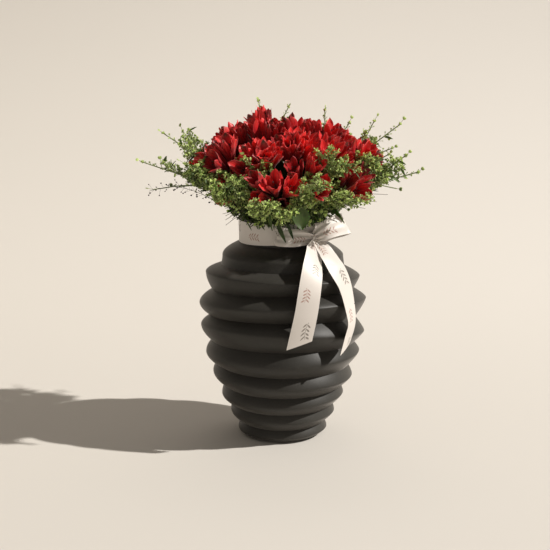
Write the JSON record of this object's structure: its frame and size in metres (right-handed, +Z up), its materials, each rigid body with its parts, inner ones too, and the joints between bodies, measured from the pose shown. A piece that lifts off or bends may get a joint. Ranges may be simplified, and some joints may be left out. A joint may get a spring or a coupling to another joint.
{
  "type": "alstroemeria bouquet in a vase",
  "caption": "Bouquet of red alstroemeria and green pennycress standing in a ridged black ceramic vase filled with water, with a satin ribbon bow round the vase's neck.",
  "frame": {"origin": "centre of the vase's foot, on the surface that it stands on", "axes": "+Z up through the vase's mouth, -Y towards the side with the bow, +X to the right of someone who looks at the bow"},
  "size_m": [0.4015, 0.2846, 0.4763],
  "materials": {
    "stoneware": null,
    "water": "clear still water",
    "satin": "cream satin with woven edges and a pale sprig pattern",
    "petal": null,
    "lily_leaf": null,
    "pennycress": null
  },
  "bodies": {
    "root": {"lily_head_01": "petal", "lily_head_02": "petal", "lily_head_03": "petal", "lily_head_04": "petal", "lily_head_05": "petal", "lily_head_06": "petal", "lily_head_07": "petal", "lily_head_08": "petal", "lily_head_09": "petal", "lily_head_10": "petal", "lily_head_11": "petal", "lily_head_12": "petal", "lily_head_13": "petal", "lily_head_14": "petal", "lily_head_15": "petal", "lily_head_16": "petal", "lily_head_17": "petal", "lily_stem_01": "lily_leaf", "lily_stem_02": "lily_leaf", "lily_stem_03": "lily_leaf", "lily_stem_04": "lily_leaf", "lily_stem_05": "lily_leaf", "lily_stem_06": "lily_leaf", "lily_stem_07": "lily_leaf", "lily_stem_08": "lily_leaf", "lily_stem_09": "lily_leaf", "lily_stem_10": "lily_leaf", "lily_stem_11": "lily_leaf", "lily_stem_12": "lily_leaf", "lily_stem_13": "lily_leaf", "lily_stem_14": "lily_leaf", "lily_stem_15": "lily_leaf", "lily_stem_16": "lily_leaf", "lily_stem_17": "lily_leaf", "pennycress_01": "pennycress", "pennycress_02": "pennycress", "pennycress_03": "pennycress", "pennycress_04": "pennycress", "pennycress_05": "pennycress", "pennycress_06": "pennycress", "pennycress_07": "pennycress", "pennycress_08": "pennycress", "pennycress_09": "pennycress", "pennycress_10": "pennycress", "pennycress_11": "pennycress", "pennycress_12": "pennycress", "pennycress_13": "pennycress", "pennycress_14": "pennycress", "pennycress_15": "pennycress", "pennycress_16": "pennycress", "pennycress_17": "pennycress", "ribbon_band": "satin", "ribbon_bow": "satin", "vase": "stoneware", "water": "water"}
  },
  "joints": []
}
